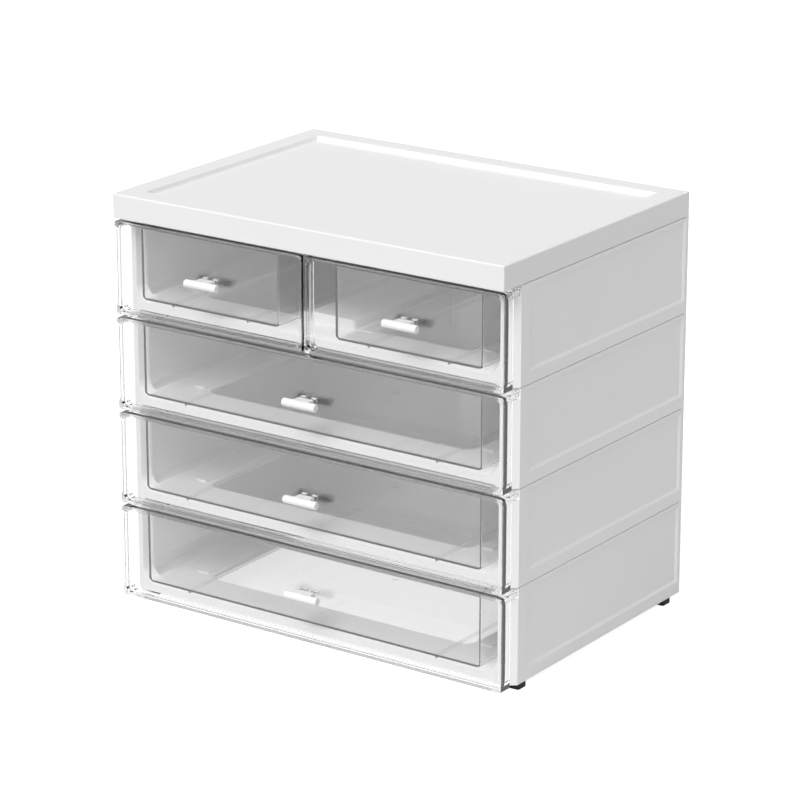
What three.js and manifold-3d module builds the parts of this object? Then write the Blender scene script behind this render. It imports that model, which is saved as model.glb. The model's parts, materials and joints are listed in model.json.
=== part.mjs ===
// A desktop drawer cabinet: four stacked casings, a lid, five clear drawers and four feet.
// Millimetres, +Z up, the drawers open towards -Y. The origin is under the middle of the
// whole cabinet, on the surface that it stands on.
import * as THREE from 'three';
import * as BufferGeometryUtils from 'three/addons/utils/BufferGeometryUtils.js';
import Module from 'manifold-3d';

const wasm = await Module();
wasm.setup();

// Whole cabinet
const caseWidth = 260;            // outside, side to side
const caseDepth = 187.6;          // front edge of the lid to the rear edges
const tierHeight = 56;            // one casing, seam to seam
const fullTiers = 3;              // tiers with one full-width drawer, under the split tier

// Casing, one moulding for every tier
const casingSetback = 11;         // lid's front edge to the casing's front face
const casingWall = 3;             // side walls
const casingFrontChamfer = 8;     // front vertical corners, in plan, along the front
const casingChamferDepth = 6;     // the same, along the side
const casingRearRadius = 0.8;     // rear vertical corners, in plan
const frameDepth = 7;             // front frame, front to back
const jambWidth = 10.5;           // each side of the opening
const openingCornerRadius = 8;    // lower corners of the opening
const openingBevel = 2.3;         // opening's front edge, across
const openingBevelDepth = 5.9;    // the same, front to back
const sillTop = 8.8;              // top of the sill and of the shelf, above the seam
const sillUndercut = 2.2;         // gap left under the sill's front, between the jambs
const undercutDepth = 5.7;        // how far back that gap goes
const shelfThickness = 2.5;
const frontLedge = 14;            // shelf behind the front frame
const rearLedge = 19;             // shelf in front of the back panel
const sideLedge = 37;             // shelf beside the window
const windowRadius = 6;           // corners of the shelf's window
const backPanelInset = 7;         // back panel's outer face to the rear edges
const backPanelThickness = 2.6;
const sideRecessDepth = 1;        // sunk panel on each outer side
const sideRecessBevel = 1.6;      // its sloped border
const sideRecessFront = 14.5;     // its edges, from the casing's edges
const sideRecessRear = 3.6;
const sideRecessTop = 2;
const sideRecessBottom = 7;
const seamHeight = 0.5;           // groove along the top of each outer side
const seamDepth = 1.1;
const seamFront = 6;              // its ends, from the casing's edges
const seamRear = 3;

// Raised strips on the side ledges that carry the drawer's floor
const railWidth = 7;
const railInset = 4;              // from the window's side, leaves a track for the half boxes' ribs
const railEndGap = 4;             // from the ends of the window, each end

// Tongues on the side walls' top edges, in rebates of the piece above
const tongueHeight = 2.5;
const tongueThickness = 1.4;
const tongueFront = 32;           // behind the lid's front edge
const tongueRear = 26;            // in front of the rear edges
const tongueGap = 0.3;

// Corner blocks under the shelf, each with a hole for a foot's peg
const blockWidth = 9.6;
const blockDepth = 10.6;

// Lid
const lidHeight = 14;
const lidWall = 3;
const lidPlate = 2.4;
const lidEdgeRadius = 0.9;
const lidCornerRadius = 1;
const trayRim = 13.3;
const trayDepth = 3;
const traySlope = 2.2;            // width of the tray's sloped border

// Rubber feet
const footHeight = 4.2;
const footWidth = 10;
const footDepth = 7.8;
const footInset = 0.8;            // from the outer side
const footFront = 8.6;            // behind the casing's front face
const footRear = 8.6;             // in front of the rear edges
const footRadius = 1.4;
const footPegDiameter = 4;
const footPegHeight = 3.4;
const footPegGap = 0.3;

// Clear drawer fronts, an H in section: a pane with a rim before and behind it
const frontSideGap = 0.1;         // inside the outer sides
const frontInset = 1;             // behind the lid's front edge
const frontDepth = 8.7;
const frontBottomGap = 0.3;
const frontTopGap = 1.8;
const frontRim = 1.8;
const frontCornerRadius = 1.2;
const dishRadius = 4;             // inner corners of the rim
const dishDepth = 2.2;            // rim standing before the pane
const dishDraft = 0.3;            // how far its left and right sides lean in, down to the pane
const paneThickness = 2.8;
const halfFrontGap = 1.4;         // between the two half fronts
const earLength = 7;              // tab behind the rim at each outer top corner
const earHeight = 3.8;
const earWidth = 3.2;
const earGap = 0.5;

// Clear drawer boxes
const boxSideGap = 16;            // casing's outer side to the box's side
const boxRearGap = 4;             // in front of the back panel
const boxTopGap = 0.6;            // under the front's upper rim
const boxWall = 1.2;
const boxRadius = 2.4;
const boxInnerRadius = 1;
const runnerHeight = 1;           // ribs under the box
const runnerWidth = 1.2;
const runnerGap = 0.3;            // running clearance on the sill, the ledges and the rails
const fullRunnerSpacing = 170;
const halfRunnerSpacing = 52;
const gateDiameter = 4.4;         // moulding mark under the floor
const gateHeight = 0.3;
const halfBoxInset = 19;          // cabinet's middle to each half box

// Centre rail of the split tier
const centreRailWidth = 31;
const centreRailRise = 6.4;       // its top above the shelf
const centreRailStart = 10;       // behind the front frame
const centreRailWall = 2.6;
const centreRailRadius = 2.5;
const centreRailFlange = 13;      // each side of the block, under the half boxes
const centreRailRearGap = 1;
const centreRailKeyGap = 0.4;     // key to the window's edges

// Pulls
const barDiameter = 4.8;
const barLength = 22.4;
const barEndRound = 0.8;
const barReach = 5.6;             // pane to the bar's axis
const neckTipWidth = 10.6;
const neckRootWidth = 9.6;
const neckThickness = 2.4;
const pegWidth = 3;
const pegThickness = 1.4;
const pegSpacing = 7;
const pegGap = 0.3;
const barbLength = 1.2;
const barbRise = 0.6;

const cutOverrun = 5;             // how far a cut runs past the face that it opens
const arcSegments = 4;            // on small corners
const wideArcSegments = 7;        // on the large ones
const roundSegments = 14;         // round bars and pegs

// Places that follow from the sizes, measured from the lid's front edge and a casing's foot
const halfWidth = caseWidth / 2;
const casingFront = casingSetback;
const frameBack = casingFront + frameDepth;
const openingHalf = halfWidth - jambWidth;
const innerHalf = halfWidth - casingWall;
const panelBack = caseDepth - backPanelInset;
const panelFront = panelBack - backPanelThickness;
const shelfBottom = sillTop - shelfThickness;
const windowFront = frameBack + frontLedge;
const windowBack = panelFront - rearLedge;
const windowHalf = innerHalf - sideLedge;
const runnerBottom = sillTop + runnerGap;
const boxBottom = runnerBottom + runnerHeight;
const railTop = boxBottom - runnerGap;
const frontBottom = frontBottomGap;
const frontTop = tierHeight - frontTopGap;
const boxTop = frontTop - frontRim - boxTopGap;
const frontHalf = halfWidth - frontSideGap;
const frontBack = frontInset + frontDepth;
const paneFront = frontInset + dishDepth;
const paneBack = paneFront + paneThickness;
const boxFront = paneBack;
const boxBack = panelFront - boxRearGap;
const boxHalf = halfWidth - boxSideGap;
const handleHeight = (frontBottom + frontTop) / 2;
const barCentre = paneFront - barReach;
const barRadius = barDiameter / 2;
const neckBottom = handleHeight + barRadius - neckThickness;
const pegMiddle = neckBottom + neckThickness / 2;
const tiers = fullTiers + 1;
const foreMost = barCentre - barRadius;
const originY = (foreMost + caseDepth) / 2;

const white = { color: 0xf1f1f0, roughness: 0.42, metalness: 0 };
const whiteLid = { color: 0xf2f2f1, roughness: 0.45, metalness: 0 };
const gloss = { color: 0xf8f8f8, roughness: 0.25, metalness: 0 };
const rubber = { color: 0x111111, roughness: 0.85, metalness: 0 };
const clear = { color: 0xe6ecec, roughness: 0.06, metalness: 0, transparent: true, opacity: 0.35 };

// A three.js geometry as a solid that can be joined and cut
function solid(geometry) {
  geometry.deleteAttribute('normal');
  geometry.deleteAttribute('uv');
  const merged = BufferGeometryUtils.mergeVertices(geometry);
  return new wasm.Manifold(new wasm.Mesh({
    numProp: 3,
    vertProperties: new Float32Array(merged.attributes.position.array),
    triVerts: new Uint32Array(merged.index.array),
  }));
}

function geometryOf(body) {
  const mesh = body.getMesh();
  const geometry = new THREE.BufferGeometry();
  geometry.setAttribute('position', new THREE.BufferAttribute(mesh.vertProperties, 3));
  geometry.setIndex(new THREE.BufferAttribute(mesh.triVerts, 1));
  geometry.computeVertexNormals();
  return geometry;
}

function joined(bodies) {
  return bodies.reduce((whole, body) => whole.add(body));
}

function cut(body, cutters) {
  return cutters.reduce((left, cutter) => left.subtract(cutter), body);
}

// A block between two corners
function block(x0, x1, y0, y1, z0, z1) {
  const geometry = new THREE.BoxGeometry(x1 - x0, y1 - y0, z1 - z0);
  geometry.translate((x0 + x1) / 2, (y0 + y1) / 2, (z0 + z1) / 2);
  return solid(geometry);
}

// A rectangle whose corners have their own radii: lower left, lower right, upper right, upper left
function roundedRectangle(x0, x1, y0, y1, radii) {
  const [lowerLeft, lowerRight, upperRight, upperLeft] = radii;
  const quarter = Math.PI / 2;
  const shape = new THREE.Shape();
  shape.moveTo(x0, y0 + lowerLeft);
  if (lowerLeft) shape.absarc(x0 + lowerLeft, y0 + lowerLeft, lowerLeft, 2 * quarter, 3 * quarter);
  shape.lineTo(x1 - lowerRight, y0);
  if (lowerRight) shape.absarc(x1 - lowerRight, y0 + lowerRight, lowerRight, 3 * quarter, 4 * quarter);
  shape.lineTo(x1, y1 - upperRight);
  if (upperRight) shape.absarc(x1 - upperRight, y1 - upperRight, upperRight, 0, quarter);
  shape.lineTo(x0 + upperLeft, y1);
  if (upperLeft) shape.absarc(x0 + upperLeft, y1 - upperLeft, upperLeft, quarter, 2 * quarter);
  shape.closePath();
  return shape;
}

// A plan outline raised from z0 to z1
function raised(shape, z0, z1, curveSegments = arcSegments) {
  const geometry = new THREE.ExtrudeGeometry(shape, { depth: z1 - z0, bevelEnabled: false, curveSegments });
  geometry.translate(0, 0, z0);
  return solid(geometry);
}

// A front-view outline, drawn in x and z, that runs from y0 to y1
function throughDepth(shape, y0, y1, curveSegments = arcSegments) {
  const geometry = new THREE.ExtrudeGeometry(shape, { depth: y1 - y0, bevelEnabled: false, curveSegments });
  geometry.rotateX(Math.PI / 2);
  geometry.translate(0, y1, 0);
  return solid(geometry);
}

// A plan outline raised from z0 to z1 whose edges are drawn in at both ends, over the given
// height: sloped with one step, rounded with more
function drawnIn(shape, z0, z1, inset, height, steps) {
  const geometry = new THREE.ExtrudeGeometry(shape, {
    depth: z1 - z0 - 2 * height,
    bevelEnabled: true,
    bevelThickness: height,
    bevelSize: inset,
    bevelOffset: -inset,
    bevelSegments: steps,
    curveSegments: arcSegments,
  });
  geometry.translate(0, 0, z0 + height);
  return geometry;
}

// What sinks a panel with a sloped border: the outline is its edge, a depth above its floor,
// and its corners are square where no radius is given
function panelCutter(x0, x1, y0, y1, floor, depth, border, radius = 0) {
  const corner = radius ? radius + border : 0;
  const outline = roundedRectangle(x0 - border, x1 + border, y0 - border, y1 + border, [
    corner, corner, corner, corner]);
  return drawnIn(outline, floor, floor + 4 * depth + cutOverrun, 2 * border, 2 * depth, 1);
}

function mirrored(make) {
  return [-1, 1].map((side) => make(side));
}

function blockOnSide(side, near, far, y0, y1, z0, z1) {
  return block(Math.min(side * near, side * far), Math.max(side * near, side * far), y0, y1, z0, z1);
}

function placed(body, material, name) {
  const mesh = new THREE.Mesh(geometryOf(body), new THREE.MeshStandardMaterial(material));
  mesh.name = name;
  return mesh;
}

// The rebates under a side wall that take the tongues of the casing below
function tongueRebates() {
  return mirrored((side) => blockOnSide(
    side,
    innerHalf - cutOverrun,
    innerHalf + tongueThickness + tongueGap,
    tongueFront - tongueGap,
    caseDepth - tongueRear + tongueGap,
    -cutOverrun,
    tongueHeight + tongueGap,
  ));
}

function tongues() {
  return mirrored((side) => blockOnSide(
    side,
    innerHalf,
    innerHalf + tongueThickness,
    tongueFront,
    caseDepth - tongueRear,
    tierHeight - tongueHeight,
    tierHeight + tongueHeight,
  ));
}

// The middles of the feet, and of the holes for their pegs
const footX = halfWidth - footInset - footWidth / 2;
const footRows = {
  front: casingFront + footFront + footDepth / 2,
  rear: caseDepth - footRear - footDepth / 2,
};

function pegAt(x, y, z0, z1, diameter) {
  const geometry = new THREE.CylinderGeometry(diameter / 2, diameter / 2, z1 - z0, roundSegments);
  geometry.rotateX(Math.PI / 2);
  geometry.translate(x, y, (z0 + z1) / 2);
  return solid(geometry);
}

// The corner blocks over the feet
function cornerBlocks() {
  const inner = innerHalf - blockWidth;
  return Object.values(footRows).flatMap((y) => mirrored((side) => blockOnSide(
    side,
    inner,
    innerHalf + casingWall / 2,
    y - blockDepth / 2,
    y + blockDepth / 2,
    0,
    shelfBottom + shelfThickness / 2,
  )));
}

function footHoles() {
  const holeTop = footPegHeight + footPegGap;
  return Object.values(footRows).flatMap((y) => mirrored((side) => pegAt(
    side * footX, y, -cutOverrun, holeTop, footPegDiameter + 2 * footPegGap)));
}

// The sunk panel on an outer side, first drawn flat with y and z as its plan
function sideRecess(side) {
  const y0 = casingFront + sideRecessFront;
  const y1 = caseDepth - sideRecessRear;
  const flat = panelCutter(
    y0, y1, sideRecessBottom, tierHeight - sideRecessTop,
    halfWidth - sideRecessDepth, sideRecessDepth, sideRecessBevel);
  const standing = new THREE.Matrix4().makeBasis(
    new THREE.Vector3(0, 1, 0), new THREE.Vector3(0, 0, 1), new THREE.Vector3(1, 0, 0));
  flat.applyMatrix4(standing);
  if (side < 0) {
    flat.rotateZ(Math.PI);
    flat.translate(0, y0 + y1, 0);
  }
  return solid(flat);
}

// The casing's outline in plan
function casingPlan() {
  const plan = new THREE.Shape();
  const rear = caseDepth - casingRearRadius;
  const side = halfWidth - casingRearRadius;
  plan.moveTo(-halfWidth + casingFrontChamfer, casingFront);
  plan.lineTo(halfWidth - casingFrontChamfer, casingFront);
  plan.lineTo(halfWidth, casingFront + casingChamferDepth);
  plan.lineTo(halfWidth, rear);
  plan.absarc(side, rear, casingRearRadius, 0, Math.PI / 2);
  plan.lineTo(-side, caseDepth);
  plan.absarc(-side, rear, casingRearRadius, Math.PI / 2, Math.PI);
  plan.lineTo(-halfWidth, casingFront + casingChamferDepth);
  plan.closePath();
  return plan;
}

function casing() {
  const top = tierHeight + cutOverrun;
  const inside = block(-innerHalf, innerHalf, frameBack, panelFront, sillTop, top);
  const underShelf = block(-innerHalf, innerHalf, frameBack, panelFront, -cutOverrun, shelfBottom);
  const behindPanel = block(
    -innerHalf, innerHalf, panelBack, caseDepth + cutOverrun, -cutOverrun, top);
  const opening = throughDepth(
    roundedRectangle(-openingHalf, openingHalf, sillTop, top, [
      openingCornerRadius, openingCornerRadius, 0, 0]),
    casingFront - cutOverrun, frameBack + cutOverrun, wideArcSegments);
  const bevel = panelCutter(
    -openingHalf - openingBevel, openingHalf + openingBevel,
    sillTop - openingBevel, top + openingBevel,
    -casingFront - openingBevelDepth, openingBevelDepth, openingBevel,
    openingCornerRadius + openingBevel);
  bevel.rotateX(Math.PI / 2);
  const underSill = block(
    -openingHalf, openingHalf,
    casingFront - cutOverrun, casingFront + undercutDepth, -cutOverrun, sillUndercut);
  const seamGrooves = mirrored((side) => blockOnSide(
    side,
    halfWidth - seamDepth,
    halfWidth + cutOverrun,
    casingFront + seamFront,
    caseDepth - seamRear,
    tierHeight - seamHeight,
    top,
  ));
  const windowHole = raised(
    roundedRectangle(-windowHalf, windowHalf, windowFront, windowBack,
      [windowRadius, windowRadius, windowRadius, windowRadius]),
    shelfBottom - cutOverrun, sillTop + cutOverrun);
  const earNotches = mirrored((side) => blockOnSide(
    side,
    frontHalf - earWidth - earGap,
    halfWidth + cutOverrun,
    casingFront - cutOverrun,
    frontBack + earLength + earGap,
    frontTop - earHeight - earGap,
    top,
  ));
  const shell = cut(raised(casingPlan(), 0, tierHeight), [
    inside, underShelf, behindPanel, opening, solid(bevel), windowHole, ...seamGrooves,
    ...mirrored(sideRecess)]);
  const rails = mirrored((side) => blockOnSide(
    side,
    windowHalf + railInset,
    windowHalf + railInset + railWidth,
    windowFront + railEndGap,
    windowBack - railEndGap,
    shelfBottom,
    railTop,
  ));
  const body = joined([shell, ...rails, ...cornerBlocks(), ...tongues()]);
  return cut(body, [underSill, ...earNotches, ...tongueRebates(), ...footHoles()]);
}

function lid() {
  const plan = roundedRectangle(-halfWidth, halfWidth, 0, caseDepth, [
    lidCornerRadius, lidCornerRadius, lidCornerRadius, lidCornerRadius]);
  const skin = solid(drawnIn(
    plan, -lidHeight, lidHeight, lidEdgeRadius, lidEdgeRadius, arcSegments));
  const below = block(
    -halfWidth - cutOverrun, halfWidth + cutOverrun,
    -cutOverrun, caseDepth + cutOverrun, -lidHeight - cutOverrun, 0);
  const hollow = block(
    -halfWidth + lidWall, halfWidth - lidWall,
    lidWall, caseDepth - lidWall, -cutOverrun, lidHeight - lidPlate);
  const tubRim = trayRim - lidPlate;
  const tub = block(
    -halfWidth + tubRim, halfWidth - tubRim, tubRim, caseDepth - tubRim,
    lidHeight - trayDepth - lidPlate, lidHeight - lidPlate / 2);
  const tray = solid(panelCutter(
    -halfWidth + trayRim, halfWidth - trayRim, trayRim, caseDepth - trayRim,
    lidHeight - trayDepth, trayDepth, traySlope));
  const shell = cut(skin, [below, hollow]);
  return cut(joined([shell, tub]), [tray, ...tongueRebates()]);
}

function foot() {
  const half = footWidth / 2;
  const pad = raised(
    roundedRectangle(-half, half, -footDepth / 2, footDepth / 2, [
      footRadius, footRadius, footRadius, footRadius]),
    0, footHeight);
  const peg = pegAt(0, 0, footHeight / 2, footHeight + footPegHeight, footPegDiameter);
  return pad.add(peg);
}

// The holes in the pane and the box's front wall for a pull's pegs
function pegHoles(middle) {
  return mirrored((side) => {
    const x = middle + side * pegSpacing / 2;
    const half = pegWidth / 2 + pegGap;
    const rise = pegThickness / 2 + pegGap;
    return block(x - half, x + half, paneFront - dishDepth / 2, paneBack + boxWall + dishDepth / 2,
      pegMiddle - rise, pegMiddle + rise);
  });
}

// A drawer front from x0 to x1, with an ear at each end that meets the cabinet's side
function drawerFront(x0, x1, earSides, middle) {
  const outline = roundedRectangle(x0, x1, frontBottom, frontTop, [
    frontCornerRadius, frontCornerRadius, frontCornerRadius, frontCornerRadius]);
  const dish = roundedRectangle(
    x0 + frontRim, x1 - frontRim, frontBottom + frontRim, frontTop - frontRim,
    [dishRadius, dishRadius, dishRadius, dishRadius]);
  const slab = throughDepth(outline, frontInset, frontBack);
  const leaning = panelCutter(
    x0 + frontRim, x1 - frontRim,
    frontBottom + frontRim - dishDraft, frontTop - frontRim + dishDraft,
    -paneFront, dishDepth, dishDraft, dishRadius);
  leaning.rotateX(Math.PI / 2);
  const before = throughDepth(dish, frontInset - cutOverrun, paneFront)
    .intersect(solid(leaning));
  const behind = throughDepth(dish, paneBack, frontBack + cutOverrun);
  const ears = earSides.map((side) => blockOnSide(
    side,
    frontHalf - earWidth,
    frontHalf,
    frontBack - frontRim,
    frontBack + earLength,
    frontTop - earHeight,
    frontTop,
  ));
  const body = cut(slab, [before, behind]);
  return cut(joined([body, ...ears]), pegHoles(middle));
}

// An open box from x0 to x1, with two ribs under its floor
function drawerBox(x0, x1, runnerSpacing) {
  const middle = (x0 + x1) / 2;
  const profile = roundedRectangle(x0, x1, boxBottom, boxTop, [boxRadius, boxRadius, 0, 0]);
  const plan = roundedRectangle(x0, x1, boxFront, boxBack, [0, 0, boxRadius, boxRadius]);
  const outer = throughDepth(profile, boxFront, boxBack)
    .intersect(raised(plan, boxBottom, boxTop));
  const inner = throughDepth(
    roundedRectangle(x0 + boxWall, x1 - boxWall, boxBottom + boxWall, boxTop + cutOverrun, [
      boxInnerRadius, boxInnerRadius, 0, 0]),
    boxFront + boxWall, boxBack - boxWall);
  const runners = mirrored((side) => {
    const x = middle + side * runnerSpacing / 2;
    return block(
      x - runnerWidth / 2, x + runnerWidth / 2, boxFront, boxBack - boxRadius,
      runnerBottom, boxBottom + boxWall / 2);
  });
  const gate = pegAt(
    middle, (boxFront + boxBack) / 2, boxBottom - gateHeight, boxBottom + boxWall / 2, gateDiameter);
  return cut(joined([cut(outer, [inner]), ...runners, gate]), pegHoles(middle));
}

// The block that the two half drawers run beside, keyed into the shelf's window
function centreRail() {
  const half = centreRailWidth / 2;
  const y0 = frameBack + centreRailStart;
  const y1 = panelFront - centreRailRearGap;
  const top = sillTop + centreRailRise;
  const flangeHalf = half + centreRailFlange;
  const radius = centreRailRadius;
  const ridge = throughDepth(
    roundedRectangle(-half, half, sillTop, top, [0, 0, radius, radius]), y0, y1)
    .intersect(raised(roundedRectangle(-half, half, y0, y1, [radius, radius, 0, 0]), sillTop, top));
  const flange = block(-flangeHalf, flangeHalf, y0, y1, sillTop, railTop);
  const key = block(
    -flangeHalf, flangeHalf, windowFront + centreRailKeyGap, windowBack - centreRailKeyGap,
    shelfBottom, railTop);
  const hollow = block(
    -half + centreRailWall, half - centreRailWall,
    windowFront + centreRailKeyGap + centreRailWall, windowBack - centreRailKeyGap - centreRailWall,
    shelfBottom - cutOverrun, top - centreRailWall);
  return cut(joined([ridge, flange, key]), [hollow]);
}

// A T-shaped pull about x = 0: bar, tapered neck and two snap pegs
function handle() {
  const profile = new THREE.Path();
  const half = barLength / 2;
  profile.moveTo(0, -half);
  profile.lineTo(barRadius - barEndRound, -half);
  profile.absarc(barRadius - barEndRound, -half + barEndRound, barEndRound, -Math.PI / 2, 0);
  profile.absarc(barRadius - barEndRound, half - barEndRound, barEndRound, 0, Math.PI / 2);
  profile.lineTo(0, half);
  const barGeometry = new THREE.LatheGeometry(profile.getPoints(arcSegments), roundSegments);
  barGeometry.rotateZ(Math.PI / 2);
  barGeometry.translate(0, barCentre, handleHeight);
  const neckPlan = new THREE.Shape([
    new THREE.Vector2(-neckTipWidth / 2, barCentre),
    new THREE.Vector2(neckTipWidth / 2, barCentre),
    new THREE.Vector2(neckRootWidth / 2, paneFront),
    new THREE.Vector2(-neckRootWidth / 2, paneFront),
  ]);
  const neck = raised(neckPlan, neckBottom, neckBottom + neckThickness);
  const barbFront = paneBack + boxWall + pegGap;
  const pegs = mirrored((side) => {
    const x = side * pegSpacing / 2;
    const stem = block(
      x - pegWidth / 2, x + pegWidth / 2, paneFront - paneThickness, barbFront + barbLength,
      pegMiddle - pegThickness / 2, pegMiddle + pegThickness / 2);
    const barb = block(
      x - pegWidth / 2, x + pegWidth / 2, barbFront, barbFront + barbLength,
      pegMiddle - pegThickness / 2, pegMiddle + pegThickness / 2 + barbRise);
    return stem.add(barb);
  });
  return joined([solid(barGeometry), neck, ...pegs]);
}

const cabinet = new THREE.Group();
const stack = new THREE.Group();
stack.position.set(0, -originY, 0);
cabinet.add(stack);

// Feet under the four corners
for (const [row, y] of Object.entries(footRows)) {
  for (const [sideName, side] of [['left', -1], ['right', 1]]) {
    const piece = placed(foot(), rubber, `foot_${row}_${sideName}`);
    piece.position.set(side * footX, y, 0);
    stack.add(piece);
  }
}

// A drawer of a tier: its front, its box and its pull
function addDrawer(tier, name, frontRange, boxRange, earSides, runnerSpacing) {
  const middle = (boxRange[0] + boxRange[1]) / 2;
  tier.add(placed(drawerFront(...frontRange, earSides, middle), clear, `drawer_front_${name}`));
  tier.add(placed(drawerBox(...boxRange, runnerSpacing), clear, `drawer_box_${name}`));
  const pull = placed(handle(), gloss, `handle_${name}`);
  pull.position.set(middle, 0, 0);
  tier.add(pull);
}

// Four casings, the lowest first, with their drawers
for (let level = 0; level < tiers; level += 1) {
  const tier = new THREE.Group();
  tier.position.set(0, 0, footHeight + level * tierHeight);
  tier.add(placed(casing(), white, `casing_${level + 1}`));
  if (level < fullTiers) {
    addDrawer(tier, `${level + 1}`, [-frontHalf, frontHalf], [-boxHalf, boxHalf], [-1, 1],
      fullRunnerSpacing);
  } else {
    addDrawer(tier, 'left', [-frontHalf, -halfFrontGap / 2], [-boxHalf, -halfBoxInset], [-1],
      halfRunnerSpacing);
    addDrawer(tier, 'right', [halfFrontGap / 2, frontHalf], [halfBoxInset, boxHalf], [1],
      halfRunnerSpacing);
    tier.add(placed(centreRail(), white, 'centre_rail'));
  }
  stack.add(tier);
}

// The lid on the top casing
const cover = placed(lid(), whiteLid, 'top_lid');
cover.position.set(0, 0, footHeight + tiers * tierHeight);
stack.add(cover);

export default cabinet;
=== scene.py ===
import json
import math

import bmesh
import bpy
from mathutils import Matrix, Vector

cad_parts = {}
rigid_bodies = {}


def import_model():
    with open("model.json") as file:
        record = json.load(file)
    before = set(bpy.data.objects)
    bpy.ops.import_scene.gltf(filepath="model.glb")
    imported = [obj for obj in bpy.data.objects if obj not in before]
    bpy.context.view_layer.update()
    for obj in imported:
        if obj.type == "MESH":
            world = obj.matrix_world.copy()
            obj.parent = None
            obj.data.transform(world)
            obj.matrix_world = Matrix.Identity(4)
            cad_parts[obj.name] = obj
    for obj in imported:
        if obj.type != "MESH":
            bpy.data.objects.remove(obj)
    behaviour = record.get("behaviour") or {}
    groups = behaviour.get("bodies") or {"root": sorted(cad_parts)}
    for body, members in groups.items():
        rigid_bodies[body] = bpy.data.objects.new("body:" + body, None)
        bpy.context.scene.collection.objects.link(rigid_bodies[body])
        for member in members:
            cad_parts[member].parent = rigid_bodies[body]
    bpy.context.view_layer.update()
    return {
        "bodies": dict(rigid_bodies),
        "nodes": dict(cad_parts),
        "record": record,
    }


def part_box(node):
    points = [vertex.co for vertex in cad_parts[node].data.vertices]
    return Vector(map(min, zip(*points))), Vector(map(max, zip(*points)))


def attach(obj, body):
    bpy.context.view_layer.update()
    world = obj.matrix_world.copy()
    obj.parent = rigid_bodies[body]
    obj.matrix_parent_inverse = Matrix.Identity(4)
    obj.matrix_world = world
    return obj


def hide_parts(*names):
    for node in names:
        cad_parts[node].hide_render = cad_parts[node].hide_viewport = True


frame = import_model()
scene = bpy.context.scene
mm = 0.001


def millimetres(**sizes):
    return {name: size * mm for name, size in sizes.items()}


# Node trees

# a socket that takes arithmetic: each operator adds a Math node to its tree
class Wire:
    def __init__(self, graph, socket):
        self.graph = graph
        self.socket = socket

    def __add__(self, other):
        return self.graph.maths("ADD", self, other)

    def __radd__(self, other):
        return self.graph.maths("ADD", other, self)

    def __sub__(self, other):
        return self.graph.maths("SUBTRACT", self, other)

    def __rsub__(self, other):
        return self.graph.maths("SUBTRACT", other, self)

    def __mul__(self, other):
        return self.graph.maths("MULTIPLY", self, other)

    def __rmul__(self, other):
        return self.graph.maths("MULTIPLY", other, self)

    def __truediv__(self, other):
        return self.graph.maths("DIVIDE", self, other)


# a node tree, for a material, the world or a shape
class Graph:
    def __init__(self, tree):
        self.tree = tree

    # one node: its type, its settings, then the values or wires of its sockets
    def node(self, kind, settings=None, sockets=None):
        made = self.tree.nodes.new(kind)
        for name, value in (settings or {}).items():
            setattr(made, name, value)
        for name, value in (sockets or {}).items():
            self.feed(self.pick(made.inputs, name), value)
        return made

    def pick(self, sockets, name):
        if isinstance(name, int):
            return sockets[name]
        return next((s for s in sockets if s.identifier == name), None) or sockets[name]

    def feed(self, socket, value):
        if isinstance(value, Wire):
            self.tree.links.new(value.socket, socket)
        else:
            socket.default_value = value

    # the same, but gives a wire from one of the node's outputs
    def wire(self, kind, settings=None, sockets=None, output=0):
        made = self.node(kind, settings, sockets)
        return Wire(self, self.pick(made.outputs, output))

    def maths(self, operation, *values):
        return self.wire("ShaderNodeMath", {"operation": operation}, dict(enumerate(values)))

    # 1 for a ray of any of these kinds, 0 for the others
    def rays(self, *kinds):
        path = self.node("ShaderNodeLightPath")
        first, *others = [Wire(self, path.outputs["Is %s Ray" % kind]) for kind in kinds]
        for other in others:
            first = self.maths("MAXIMUM", first, other)
        return first


# Materials

moulding = {"mottlingScale": 38, "mottlingDetail": 3, "skinDetail": 2, "skinRoughness": 0.6,
            "skinHeight": 0.02 * mm}
haze = {"scale": 60, "detail": 2, "least": 0.6, "spread": 0.8}


def newMaterial(name):
    material = bpy.data.materials.new(name)
    material.use_nodes = True
    material.node_tree.nodes.clear()
    return material, Graph(material.node_tree)


def objectPlace(graph):
    return graph.wire("ShaderNodeTexCoord", output="Object")


def noise(graph, scale, detail, roughness=0.5):
    return graph.wire("ShaderNodeTexNoise", {"noise_dimensions": "3D"}, {
        "Vector": objectPlace(graph), "Scale": scale, "Detail": detail, "Roughness": roughness})


def shade(graph, low, high, amount):
    return graph.wire("ShaderNodeMix", {"data_type": "RGBA"}, {
        "Factor_Float": amount, "A_Color": (*low, 1), "B_Color": (*high, 1)}, "Result_Color")


def output(graph, surface, volume=None):
    sockets = {"Surface": surface}
    if volume:
        sockets["Volume"] = volume
    graph.node("ShaderNodeOutputMaterial", None, sockets)


# moulded plastic: faint flow mottling in colour and gloss, over a fine eroded skin
def mouldedPlastic(name, low, high, roughness, spread, skin, skinScale, specular):
    material, graph = newMaterial(name)
    mottling = noise(graph, moulding["mottlingScale"], moulding["mottlingDetail"])
    fine = noise(graph, skinScale, moulding["skinDetail"], moulding["skinRoughness"])
    normal = graph.wire("ShaderNodeBump", None, {
        "Strength": skin, "Distance": moulding["skinHeight"], "Height": fine})
    surface = graph.wire("ShaderNodeBsdfPrincipled", None, {
        "Base Color": shade(graph, low, high, mottling),
        "Roughness": roughness + (mottling - 0.5) * spread,
        "Specular IOR Level": specular,
        "Normal": normal})
    output(graph, surface)
    return material


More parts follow.
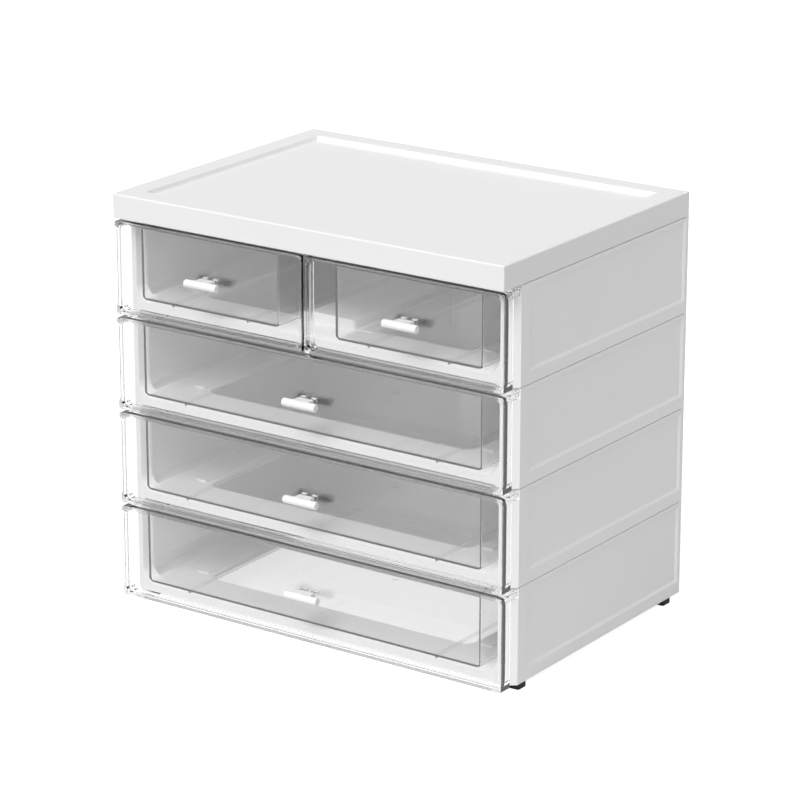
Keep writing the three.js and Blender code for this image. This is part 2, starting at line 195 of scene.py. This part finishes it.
# clear plastic: lamps and bounced light pass straight through, so that what it holds is lit,
# and long ways inside it darken, as at its edges
def clearPlastic(name, tint, roughness, ior, density):
    material, graph = newMaterial(name)
    clouds = noise(graph, haze["scale"], haze["detail"])
    solid = graph.wire("ShaderNodeBsdfPrincipled", None, {
        "Base Color": (*tint, 1),
        "Roughness": roughness * (haze["least"] + haze["spread"] * clouds),
        "IOR": ior,
        "Transmission Weight": 1.0})
    passing = graph.rays("Shadow", "Diffuse")
    through = graph.wire("ShaderNodeBsdfTransparent", None, {"Color": (*tint, 1)})
    body = graph.wire("ShaderNodeVolumeAbsorption", None, {
        "Color": (0, 0, 0, 1), "Density": density})
    output(graph, graph.wire("ShaderNodeMixShader", None, {0: passing, 1: solid, 2: through}), body)
    return material


materials = {
    "lid": mouldedPlastic(
        "lidWhite", low=(0.84, 0.84, 0.835), high=(0.86, 0.86, 0.855),
        roughness=0.42, spread=0.06, skin=0.25, skinScale=2600, specular=0.4),
    "casing": mouldedPlastic(
        "casingWhite", low=(0.87, 0.87, 0.865), high=(0.89, 0.89, 0.885),
        roughness=0.40, spread=0.06, skin=0.2, skinScale=2600, specular=0.4),
    "handle": mouldedPlastic(
        "handleWhite", low=(0.89, 0.89, 0.89), high=(0.9, 0.9, 0.9),
        roughness=0.22, spread=0.04, skin=0.05, skinScale=1800, specular=0.5),
    "foot": mouldedPlastic(
        "footRubber", low=(0.008, 0.008, 0.008), high=(0.014, 0.014, 0.014),
        roughness=0.75, spread=0.1, skin=0.6, skinScale=3200, specular=0.3),
    "front": clearPlastic(
        "frontClear", tint=(0.985, 0.985, 0.985), roughness=0.012, ior=1.57, density=10),
    "box": clearPlastic(
        "boxClear", tint=(0.98, 0.98, 0.98), roughness=0.02, ior=1.57, density=10),
}


# Mesh helpers

# a rectangle with rounded corners, counterclockwise; the same steps give as many points
def roundedLoop(x0, x1, y0, y1, radii, steps=8):
    corners = [(x0, y0, 180), (x1, y0, 270), (x1, y1, 0), (x0, y1, 90)]
    points = []
    for (x, y, start), radius in zip(corners, radii):
        middleX = x + radius if x == x0 else x - radius
        middleY = y + radius if y == y0 else y - radius
        for step in range(steps + 1):
            angle = math.radians(start + 90 * step / steps)
            points.append((middleX + radius * math.cos(angle), middleY + radius * math.sin(angle)))
    return points


# a line of (inset, height, fillet) stations with each fillet drawn as an arc
def filleted(stations, steps=4):
    line = [stations[0][:2]]
    for before, here, after in zip(stations, stations[1:], stations[2:]):
        corner, radius = Vector(here[:2]), here[2]
        back = (Vector(before[:2]) - corner).normalized()
        onward = (Vector(after[:2]) - corner).normalized()
        half = back.angle(onward) / 2
        centre = corner + (back + onward).normalized() * radius / math.sin(half)
        first = corner + back * radius / math.tan(half) - centre
        last = corner + onward * radius / math.tan(half) - centre
        start = math.atan2(first.y, first.x)
        turn = math.remainder(math.atan2(last.y, last.x) - start, math.tau)
        for step in range(steps + 1):
            angle = start + turn * step / steps
            line.append((centre.x + radius * math.cos(angle), centre.y + radius * math.sin(angle)))
    line.append(stations[-1][:2])
    return line


def asObject(name, mesh):
    piece = bpy.data.objects.new(name, mesh)
    scene.collection.objects.link(piece)
    return piece


def objectOf(name, shape):
    mesh = bpy.data.meshes.new(name)
    shape.to_mesh(mesh)
    shape.free()
    return asObject(name, mesh)


# a closed mesh through rings of points, capped at both ends
def loft(name, rings):
    shape = bmesh.new()
    loops = [[shape.verts.new(point) for point in ring] for ring in rings]
    for lower, upper in zip(loops, loops[1:]):
        for i in range(len(lower)):
            j = (i + 1) % len(lower)
            shape.faces.new((lower[i], lower[j], upper[j], upper[i]))
    shape.faces.new(loops[0])
    shape.faces.new(loops[-1])
    bmesh.ops.recalc_face_normals(shape, faces=shape.faces)
    return objectOf(name, shape)


# a block between two corners, its edges rounded where a radius is given
def block(name, low, high, radius=0.0):
    shape = bmesh.new()
    bmesh.ops.create_cube(shape, size=1)
    for vertex in shape.verts:
        vertex.co = [a if c < 0 else b for a, b, c in zip(low, high, vertex.co)]
    bmesh.ops.recalc_face_normals(shape, faces=shape.faces)
    if radius:
        bmesh.ops.bevel(
            shape, geom=shape.edges[:], offset=radius, segments=3, profile=0.5, affect="EDGES")
    return objectOf(name, shape)


def cylinder(name, centre, radius, z0, z1, segments=32):
    shape = bmesh.new()
    bmesh.ops.create_cone(
        shape, cap_ends=True, segments=segments, radius1=radius, radius2=radius, depth=z1 - z0)
    bmesh.ops.translate(shape, vec=(*centre, (z0 + z1) / 2), verts=shape.verts)
    return objectOf(name, shape)


# the evaluated mesh takes the place of the modifiers
def baked(piece):
    graph = bpy.context.evaluated_depsgraph_get()
    mesh = bpy.data.meshes.new_from_object(piece.evaluated_get(graph))
    piece.modifiers.clear()
    piece.data = mesh
    mesh.name = piece.name
    return piece


def combined(piece, others, operation):
    for other in others:
        modifier = piece.modifiers.new("combine", "BOOLEAN")
        modifier.operation = operation
        modifier.solver = "EXACT"
        modifier.object = other
    baked(piece)
    for other in others:
        bpy.data.objects.remove(other)
    return piece


def smoothed(piece, angle=32):
    for polygon in piece.data.polygons:
        polygon.use_smooth = True
    piece.data.set_sharp_from_angle(angle=math.radians(angle))
    modifier = piece.modifiers.new("evenShading", "WEIGHTED_NORMAL")
    modifier.keep_sharp = True
    return piece


# gives a finished mesh its finish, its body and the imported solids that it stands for
def dressed(piece, kind, body, nodes):
    piece.data.materials.clear()
    piece.data.materials.append(materials[kind])
    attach(piece, body)
    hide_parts(*nodes)
    return piece


# Camera

cameraView = {"lens": 156.57, "sensor": 36, "yaw": 35.026, "pitch": 17.961,
              "place": (1.0732, -1.53015, 0.7275), "nearest": 0.05, "furthest": 60}


def makeCamera():
    data = bpy.data.cameras.new("camera")
    data.lens = cameraView["lens"]
    data.sensor_width = cameraView["sensor"]
    data.clip_start = cameraView["nearest"]
    data.clip_end = cameraView["furthest"]
    camera = asObject("camera", data)
    camera.location = cameraView["place"]
    camera.rotation_euler = (
        math.radians(90 - cameraView["pitch"]), 0, math.radians(cameraView["yaw"]))
    scene.camera = camera


makeCamera()
print("camera set")


# Lid: one shell with a sunk tray in its top

lidShape = millimetres(
    wall=3, plate=2.4, edge=0.9, corner=1, rim=13.3, trayDepth=3, traySlope=0.8, cove=1.9,
    fillet=0.4, trayCorner=0.7, footFillet=0.3, insideFillet=0.6)


def makeLid():
    low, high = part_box("top_lid")
    s = lidShape
    height = high.z - low.z
    under = s["rim"] - s["plate"]
    # the first and last stations lie on flat faces, so that their caps don't show
    stations = filleted([
        (under + s["wall"] * 2, height - s["trayDepth"] - s["plate"], 0),
        (under, height - s["trayDepth"] - s["plate"], s["footFillet"]),
        (under, height - s["plate"], s["insideFillet"]),
        (s["wall"], height - s["plate"], s["insideFillet"]),
        (s["wall"], 0, s["footFillet"]),
        (0, 0, s["footFillet"]),
        (0, height, s["edge"]),
        (s["rim"], height, s["fillet"]),
        (s["rim"] + s["traySlope"], height - s["trayDepth"], s["cove"]),
        (s["rim"] + s["traySlope"] * 3, height - s["trayDepth"], 0),
    ], steps=5)

    def ring(inset, z):
        radius = max(s["corner"] - inset, s["trayCorner"])
        loop = roundedLoop(
            low.x + inset, high.x - inset, low.y + inset, high.y - inset, [radius] * 4)
        return [(x, y, low.z + z) for x, y in loop]

    return smoothed(loft("lid", [ring(*station) for station in stations]))


# Casings and rail block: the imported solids, doubles merged, flat faces joined, edges rounded

casingShape = {"edge": 0.3 * mm, "edgeSteps": 2, "edgeAngle": 27, "flatAngle": 0.5,
               "mergeDistance": 0.005 * mm}


def makeCasing(node):
    s = casingShape
    shape = bmesh.new()
    shape.from_mesh(frame["nodes"][node].data)
    bmesh.ops.remove_doubles(shape, verts=shape.verts, dist=s["mergeDistance"])
    bmesh.ops.dissolve_limit(
        shape, angle_limit=math.radians(s["flatAngle"]), verts=shape.verts, edges=shape.edges)
    piece = objectOf("white_" + node, shape)
    modifier = piece.modifiers.new("edges", "BEVEL")
    modifier.limit_method = "ANGLE"
    modifier.angle_limit = math.radians(s["edgeAngle"])
    modifier.width = s["edge"]
    modifier.segments = s["edgeSteps"]
    modifier.use_clamp_overlap = True
    return smoothed(baked(piece), s["edgeAngle"])


# Clear fronts: a pane in a rim that stands before and behind it, with a tab at the outer corners

frontShape = millimetres(
    depth=8.7, rim=1.8, dish=2.2, draft=0.3, pane=2.8, corner=1.2, dishCorner=4, edge=0.35,
    foot=0.3, tabHeight=3.8, tabWidth=3.2, pegWidth=3.6, pegHeight=2, pegSpacing=7, pegDrop=1.2)
clearAngle = 28


# cutters for the two holes that a pull's pegs go through
def pegHoles(node, y0, y1):
    s = frontShape
    low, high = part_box(node)
    middle = (low.x + high.x) / 2
    centre = high.z - s["pegDrop"]
    holes = []
    for side in (-1, 1):
        x = middle + side * s["pegSpacing"] / 2
        holes.append(block(
            "hole", (x - s["pegWidth"] / 2, y0, centre - s["pegHeight"] / 2),
            (x + s["pegWidth"] / 2, y1, centre + s["pegHeight"] / 2)))
    return holes


def makeFront(name):
    low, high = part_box("drawer_front_" + name)
    s = frontShape
    back = low.y + s["depth"]
    paneFront = low.y + s["dish"]
    paneBack = paneFront + s["pane"]
    flat = s["rim"] + s["draft"] + s["foot"] * 2
    stations = filleted([
        (flat, paneFront, 0),
        (s["rim"] + s["draft"], paneFront, s["foot"]),
        (s["rim"], low.y, s["edge"]),
        (0, low.y, s["edge"]),
        (0, back, s["edge"]),
        (s["rim"], back, s["edge"]),
        (s["rim"], paneBack, s["foot"]),
        (flat, paneBack, 0),
    ])

    # the dish leans in at its left and right only
    def ring(inset, y):
        share = min(inset / s["rim"], 1)
        lean = 0
        if inset > s["rim"] / 2 and y < paneFront + s["pane"] / 2:
            lean = s["draft"] * min((y - low.y) / s["dish"], 1)
        rise = inset - lean
        radius = s["corner"] * (1 - share) + s["dishCorner"] * share - max(rise - s["rim"], 0)
        loop = roundedLoop(
            low.x + inset, high.x - inset, low.z + rise, high.z - rise, [radius] * 4, steps=10)
        return [(x, y, z) for x, z in loop]

    piece = loft("front_" + name, [ring(*station) for station in stations])
    spans = []
    if name != "right":
        spans.append((low.x, low.x + s["tabWidth"]))
    if name != "left":
        spans.append((high.x - s["tabWidth"], high.x))
    tabs = [block(
        "tab", (x0, back - s["rim"], high.z - s["tabHeight"]), (x1, high.y, high.z), s["edge"])
        for x0, x1 in spans]
    combined(piece, tabs, "UNION")
    combined(piece, pegHoles("handle_" + name, low.y + s["edge"], back), "DIFFERENCE")
    return smoothed(piece, clearAngle)


# Clear boxes: open shells on two ribs, with the moulding's gate mark under the floor

boxShape = millimetres(
    wall=1.2, corner=2.4, insideCorner=1, flat=3.6, edge=0.3, frontEdge=0.5, frontGap=0.15, rib=1,
    ribWidth=1.2, ribSpacingFull=170, ribSpacingHalf=52, ribEnd=2.4, gate=4.4, gateHeight=0.3,
    sunk=0.4)


def makeBox(name):
    low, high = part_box("drawer_box_" + name)
    s = boxShape
    y0 = low.y + s["frontGap"]
    bottom = low.z + s["rib"]
    top = high.z
    outside = filleted([
        (s["flat"], bottom, 0),
        (0, bottom, s["corner"]),
        (0, top, s["edge"]),
        (s["wall"] / 2, top, 0),
    ])
    inside = filleted([
        (s["wall"] / 2, top, 0),
        (s["wall"], top, s["edge"]),
        (s["wall"], bottom + s["wall"], s["insideCorner"]),
        (s["wall"] + s["flat"], bottom + s["wall"], 0),
    ])

    # the front wall stays sheer, because it lies against the pane
    def outsideRing(inset, z):
        sheer = min(inset, s["frontEdge"])
        rear = max(s["corner"] - inset, s["edge"])
        loop = roundedLoop(
            low.x + inset, high.x - inset, y0 + sheer, high.y - inset,
            [s["frontEdge"], s["frontEdge"], rear, rear])
        return [(x, y, z) for x, y in loop]

    def insideRing(inset, z):
        front, rear = s["edge"], s["insideCorner"]
        loop = roundedLoop(
            low.x + inset, high.x - inset, y0 + min(inset, s["wall"]), high.y - inset,
            [front, front, rear, rear])
        return [(x, y, z) for x, y in loop]

    rings = [outsideRing(*station) for station in outside[:-1]]
    rings += [insideRing(*station) for station in inside[1:]]
    piece = loft("box_" + name, rings)
    middle = (low.x + high.x) / 2
    spacing = s["ribSpacingHalf"] if name in ("left", "right") else s["ribSpacingFull"]
    # the ribs and the gate mark are sunk a little into the floor
    floor = bottom + s["sunk"]
    under = []
    for side in (-1, 1):
        x = middle + side * spacing / 2
        under.append(block(
            "rib", (x - s["ribWidth"] / 2, y0 + s["edge"], low.z),
            (x + s["ribWidth"] / 2, high.y - s["ribEnd"], floor), s["edge"]))
    under.append(cylinder(
        "gate", (middle, (low.y + high.y) / 2), s["gate"] / 2, bottom - s["gateHeight"], floor))
    combined(piece, under, "UNION")
    combined(piece, pegHoles("handle_" + name, y0 - s["wall"], y0 + s["wall"] * 2), "DIFFERENCE")
    return smoothed(piece, clearAngle)


# Shapes made by Geometry Nodes

def shapeTree(name, sizes):
    tree = bpy.data.node_groups.new(name, "GeometryNodeTree")
    tree.interface.new_socket("Geometry", in_out="INPUT", socket_type="NodeSocketGeometry")
    for size in sizes:
        tree.interface.new_socket(size, in_out="INPUT", socket_type="NodeSocketFloat")
    tree.interface.new_socket("Material", in_out="INPUT", socket_type="NodeSocketMaterial")
    tree.interface.new_socket("Geometry", in_out="OUTPUT", socket_type="NodeSocketGeometry")
    graph = Graph(tree)
    given = graph.node("NodeGroupInput")
    inputs = {socket.name: Wire(graph, socket) for socket in given.outputs if socket.name}
    return graph, inputs


def finishTree(graph, inputs, geometry):
    real = graph.wire("GeometryNodeRealizeInstances", None, {"Geometry": geometry})
    named = graph.wire("GeometryNodeSetMaterial", None, {
        "Geometry": real, "Material": inputs["Material"]})
    graph.node("NodeGroupOutput", None, {"Geometry": named})
    return graph.tree


def grown(piece, tree, values):
    modifier = piece.modifiers.new("shape", "NODES")
    modifier.node_group = tree
    for item in tree.interface.items_tree:
        if item.in_out == "INPUT" and item.name in values:
            modifier[item.identifier] = values[item.name]
    return baked(piece)


def pointsObject(name, points):
    mesh = bpy.data.meshes.new(name)
    mesh.from_pydata(points, [], [])
    return asObject(name, mesh)


# the share of the full width that a section keeps at a place, where the ends are rounded over
def roundedEnds(graph, distanceFromEnd, round, half):
    left = graph.maths("MAXIMUM", 1 - distanceFromEnd / round, 0.0)
    lost = 1 - graph.maths("SQRT", 1 - left * left)
    return 1 - lost * (round / half)


def vector(graph, x, y, z):
    return graph.wire("ShaderNodeCombineXYZ", None, {"X": x, "Y": y, "Z": z})


def apart(graph, place):
    split = graph.node("ShaderNodeSeparateXYZ", None, {"Vector": place})
    return [Wire(graph, split.outputs[axis]) for axis in "XYZ"]


def joined(graph, parts):
    made = graph.node("GeometryNodeMeshBoolean", {"operation": "UNION", "solver": "EXACT"})
    for part in parts:
        graph.tree.links.new(part.socket, made.inputs["Mesh 2"])
    return Wire(graph, made.outputs[0])


def atPoints(graph, points, shape):
    return graph.wire("GeometryNodeInstanceOnPoints", None, {"Points": points, "Instance": shape})


# a straight run of sections from one place to another, its width set by a share along it
def swept(graph, start, end, count, profile, share):
    line = graph.wire("GeometryNodeCurvePrimitiveLine", None, {"Start": start, "End": end})
    fine = graph.wire("GeometryNodeResampleCurve", None, {"Curve": line, "Count": count})
    return graph.wire("GeometryNodeCurveToMesh", None, {
        "Curve": fine, "Profile Curve": profile, "Scale": share, "Fill Caps": True})


# Pulls: a bar on a tapered neck, with two snap pegs behind it

pullShape = {
    "Bar Length": 22.4 * mm, "Bar Radius": 2.4 * mm, "End Round": 0.8 * mm, "Reach": 5.6 * mm,
    "Tip Width": 10.6 * mm, "Root Width": 9.6 * mm, "Neck Thickness": 2.4 * mm,
    "Neck Fillet": 0.45 * mm, "Peg Width": 3 * mm, "Peg Thickness": 1.4 * mm,
    "Peg Length": 5.5 * mm, "Peg Spacing": 7 * mm, "Barb Length": 1.2 * mm, "Barb Rise": 0.6 * mm}
pullCounts = {"around": 40, "along": 60, "neck": 6, "fillet": 5, "pegs": 2}


def pullTree():
    graph, given = shapeTree("pull", pullShape)
    length, radius = given["Bar Length"], given["Bar Radius"]
    x, y, z = apart(graph, graph.wire("GeometryNodeInputPosition"))
    fromEnd = length / 2 - graph.maths("ABSOLUTE", x)
    circle = graph.wire("GeometryNodeCurvePrimitiveCircle", {"mode": "RADIUS"}, {
        "Resolution": pullCounts["around"], "Radius": radius})
    bar = swept(
        graph, vector(graph, length * -0.5, 0, 0), vector(graph, length * 0.5, 0, 0),
        pullCounts["along"], circle, roundedEnds(graph, fromEnd, given["End Round"], radius))
    # the neck's top is level with the bar's top
    middle = radius - given["Neck Thickness"] / 2
    plan = graph.wire("GeometryNodeCurvePrimitiveQuadrilateral", {"mode": "RECTANGLE"}, {
        "Width": given["Tip Width"], "Height": given["Neck Thickness"]})
    section = graph.wire("GeometryNodeFilletCurve", {"mode": "POLY"}, {
        "Curve": plan, "Count": pullCounts["fillet"], "Radius": given["Neck Fillet"]})
    straight = swept(
        graph, vector(graph, 0, 0, middle), vector(graph, 0, given["Reach"], middle),
        pullCounts["neck"], section, 1.0)
    widening = given["Root Width"] / given["Tip Width"] - 1
    share = widening * (y / given["Reach"])
    neck = graph.wire("GeometryNodeSetPosition", None, {
        "Geometry": straight, "Offset": vector(graph, x * share, 0, 0)})
    # each peg is a stem with a barb at its end; the stem's other half lies in the neck
    stem = graph.wire("GeometryNodeMeshCube", None, {
        "Size": vector(graph, given["Peg Width"], given["Peg Length"] * 2, given["Peg Thickness"])})
    barb = graph.wire("GeometryNodeMeshCube", None, {
        "Size": vector(graph, given["Peg Width"], given["Barb Length"],
                       given["Peg Thickness"] + given["Barb Rise"])})
    barbPlaced = graph.wire("GeometryNodeTransform", None, {
        "Geometry": barb, "Translation": vector(
            graph, 0, given["Peg Length"] - given["Barb Length"] / 2, given["Barb Rise"] / 2)})
    spots = graph.wire("GeometryNodeMeshLine", {"mode": "OFFSET"}, {
        "Count": pullCounts["pegs"],
        "Start Location": vector(graph, given["Peg Spacing"] * -0.5, given["Reach"], middle),
        "Offset": vector(graph, given["Peg Spacing"], 0, 0)})
    pegs = graph.wire("GeometryNodeRealizeInstances", None, {
        "Geometry": atPoints(graph, spots, joined(graph, (stem, barbPlaced)))})
    whole = joined(graph, (bar, neck, pegs))
    return finishTree(graph, given, atPoints(graph, given["Geometry"], whole))


def makePull(name, tree):
    low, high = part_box("handle_" + name)
    radius = pullShape["Bar Radius"]
    axis = ((low.x + high.x) / 2, low.y + radius, high.z - radius)
    piece = pointsObject("pull_" + name, [axis])
    return smoothed(grown(piece, tree, {**pullShape, "Material": materials["handle"]}))


# Feet: four rubber pads, each with its peg

footShape = {
    "Width": 10 * mm, "Depth": 7.8 * mm, "Height": 4.2 * mm, "Corner": 1.4 * mm, "Edge": 0.5 * mm,
    "Peg Radius": 2 * mm, "Peg Height": 3.4 * mm}
footCounts = {"corner": 5, "layers": 13, "peg": 24, "pegLayers": 2}


def footTree():
    graph, given = shapeTree("foot", footShape)
    z = apart(graph, graph.wire("GeometryNodeInputPosition"))[2]
    plan = graph.wire("GeometryNodeCurvePrimitiveQuadrilateral", {"mode": "RECTANGLE"}, {
        "Width": given["Width"], "Height": given["Depth"]})
    section = graph.wire("GeometryNodeFilletCurve", {"mode": "POLY"}, {
        "Curve": plan, "Count": footCounts["corner"], "Radius": given["Corner"]})
    pad = swept(
        graph, vector(graph, 0, 0, 0), vector(graph, 0, 0, given["Height"]),
        footCounts["layers"], section,
        roundedEnds(graph, z, given["Edge"], given["Width"] / 2))
    circle = graph.wire("GeometryNodeCurvePrimitiveCircle", {"mode": "RADIUS"}, {
        "Resolution": footCounts["peg"], "Radius": given["Peg Radius"]})
    peg = swept(
        graph, vector(graph, 0, 0, given["Height"] / 2),
        vector(graph, 0, 0, given["Height"] + given["Peg Height"]),
        footCounts["pegLayers"], circle, 1.0)
    whole = joined(graph, (pad, peg))
    return finishTree(graph, given, atPoints(graph, given["Geometry"], whole))


def makeFeet(nodes):
    points = []
    for node in nodes:
        low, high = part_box(node)
        points.append(((low.x + high.x) / 2, (low.y + high.y) / 2, low.z))
    piece = pointsObject("feet", points)
    return smoothed(grown(piece, footTree(), {**footShape, "Material": materials["foot"]}))


# Assembly

cabinetNodes = frame["record"]["behaviour"]["bodies"]["cabinet"]
footNodes = [node for node in cabinetNodes if node.startswith("foot_")]
casingNodes = [node for node in cabinetNodes if node.startswith("casing_")]
drawerNames = [body[len("drawer_"):] for body in frame["bodies"] if body.startswith("drawer_")]

dressed(makeLid(), "lid", "cabinet", ["top_lid"])
for node in casingNodes + ["centre_rail"]:
    dressed(makeCasing(node), "casing", "cabinet", [node])
dressed(makeFeet(footNodes), "foot", "cabinet", footNodes)
print("cabinet made")

pulls = pullTree()
for name in drawerNames:
    body = "drawer_" + name
    dressed(makeFront(name), "front", body, ["drawer_front_" + name])
    dressed(makeBox(name), "box", body, ["drawer_box_" + name])
    dressed(makePull(name, pulls), "handle", body, ["handle_" + name])
print("drawers made")


# Stage and light

light = {
    "ambient": 0.15, "floorShade": 0.55, "floorGlow": 0.85, "floorReach": 30,
    "key": {"strength": 2.6, "angle": 40, "azimuth": -4, "height": 50},
    "fill": {"strength": 0.9, "angle": 40, "azimuth": 60, "height": 30}}
bounces = {"max_bounces": 64, "transmission_bounces": 64, "transparent_max_bounces": 32}


# the rays that show the surroundings: from the camera, mirrored, or through the clear plastic
def seenRays(graph):
    return graph.rays("Camera", "Glossy", "Transmission")


def makeFloor():
    reach = light["floorReach"]
    mesh = bpy.data.meshes.new("floor")
    mesh.from_pydata(
        [(-reach, -reach, 0), (reach, -reach, 0), (reach, reach, 0), (-reach, reach, 0)],
        [], [(0, 1, 2, 3)])
    floor = asObject("floor", mesh)
    material, graph = newMaterial("paleFloor")
    matt = graph.wire("ShaderNodeBsdfDiffuse", None, {"Color": (*[light["floorShade"]] * 3, 1)})
    glow = graph.wire("ShaderNodeEmission", None, {
        "Color": (1, 1, 1, 1), "Strength": light["floorGlow"]})
    white = graph.wire("ShaderNodeAddShader", None, {0: matt, 1: glow})
    output(graph, graph.wire(
        "ShaderNodeMixShader", None, {0: seenRays(graph), 1: matt, 2: white}))
    mesh.materials.append(material)


def makeWorld():
    world = bpy.data.worlds.new("studio")
    world.use_nodes = True
    world.node_tree.nodes.clear()
    graph = Graph(world.node_tree)
    strength = light["ambient"] + seenRays(graph) * (1 - light["ambient"])
    graph.node("ShaderNodeOutputWorld", None, {"Surface": graph.wire(
        "ShaderNodeBackground", None, {"Color": (1, 1, 1, 1), "Strength": strength})})
    scene.world = world


def makeLamp(name):
    lamp = light[name]
    data = bpy.data.lights.new(name, "SUN")
    data.energy = lamp["strength"]
    data.angle = math.radians(lamp["angle"])
    piece = asObject(name, data)
    piece.rotation_euler = (
        math.radians(90 - lamp["height"]), 0, math.radians(lamp["azimuth"]))


makeFloor()
makeWorld()
makeLamp("key")
makeLamp("fill")
scene.view_settings.view_transform = "Standard"
for name, count in bounces.items():
    setattr(scene.cycles, name, count)
print("stage set")
